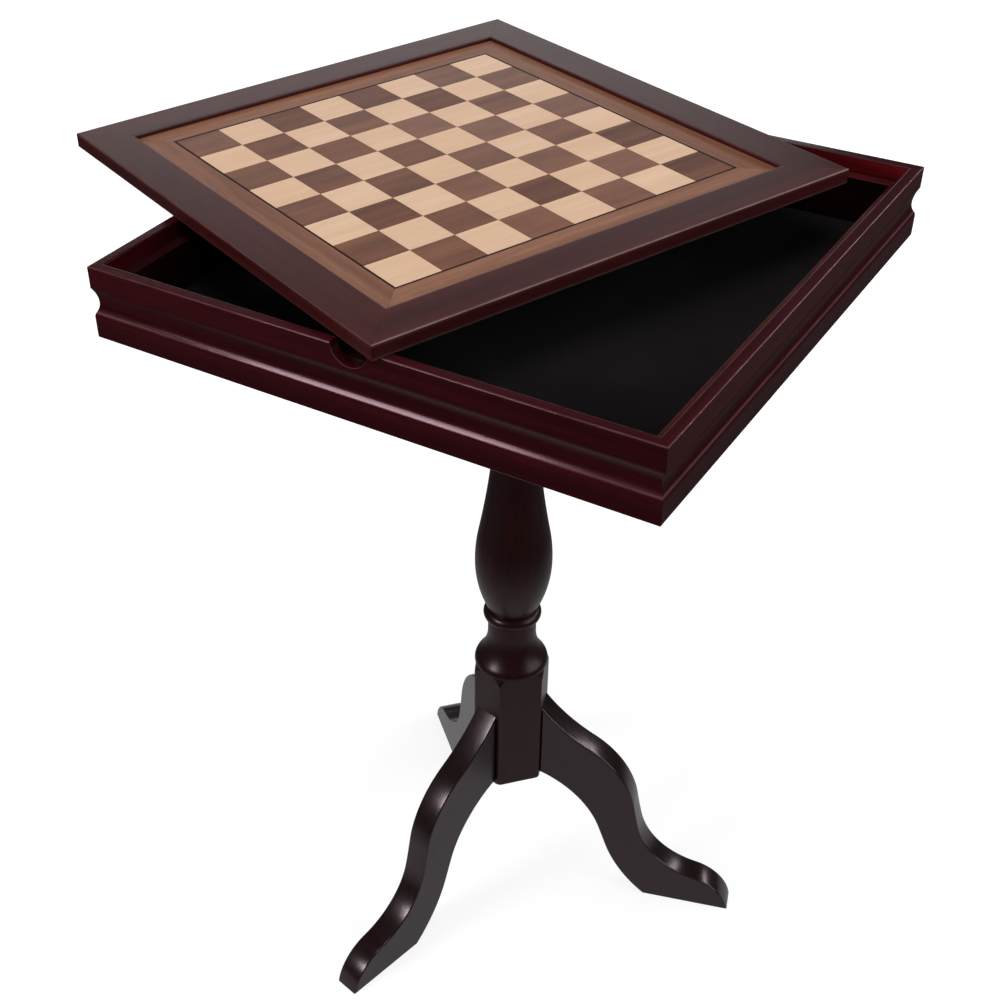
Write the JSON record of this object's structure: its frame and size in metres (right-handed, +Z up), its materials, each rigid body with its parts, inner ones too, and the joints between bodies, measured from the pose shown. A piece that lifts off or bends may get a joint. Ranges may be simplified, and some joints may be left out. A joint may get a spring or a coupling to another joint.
{
  "type": "chess table",
  "caption": "Square moulded tray on a turned tripod pedestal, with an inlaid chess board that lifts out of the tray and lies turned across its rim.",
  "frame": {"origin": "on the floor, on the column's axis, amid the three feet", "axes": "+Z up along the column, -Y towards the tray's front rail with the finger notch, +X to its right"},
  "size_m": [0.6098, 0.5694, 0.732],
  "materials": {
    "tray_mahogany": "satin lacquer",
    "pedestal_mahogany": "satin lacquer",
    "board_mahogany": "satin lacquer",
    "walnut": "satin lacquer",
    "maple": "satin lacquer",
    "dyed_stringing": "satin lacquer",
    "plywood": "bare",
    "black_felt": "felt",
    "zinc_steel": "zinc plated",
    "brass": "bare"
  },
  "bodies": {
    "table": {"tray_front_rail": "tray_mahogany", "tray_right_rail": "tray_mahogany", "tray_back_rail": "tray_mahogany", "tray_left_rail": "tray_mahogany", "ledge_front": "tray_mahogany", "ledge_right": "tray_mahogany", "ledge_back": "tray_mahogany", "ledge_left": "tray_mahogany", "tray_lining": "black_felt", "tray_bottom_panel": "plywood", "mounting_block": "pedestal_mahogany", "block_insert": "brass", "column_bolt": "zinc_steel", "column": "pedestal_mahogany", "leg_front": "pedestal_mahogany", "leg_right": "pedestal_mahogany", "leg_rear": "pedestal_mahogany"},
    "board": {"board_front_rail": "board_mahogany", "board_right_rail": "board_mahogany", "board_back_rail": "board_mahogany", "board_left_rail": "board_mahogany", "board_core": "plywood", "board_backing": "board_mahogany", "border_front": "walnut", "border_right": "walnut", "border_back": "walnut", "border_left": "walnut", "string_front": "dyed_stringing", "string_right": "dyed_stringing", "string_back": "dyed_stringing", "string_left": "dyed_stringing", "dark_squares": "walnut", "light_squares": "maple"}
  },
  "joints": [
    {"name": "board_lift", "type": "slide", "parent": "table", "child": "board", "axis": [0, 0, 1], "range_m": [0, 0.2]}
  ]
}
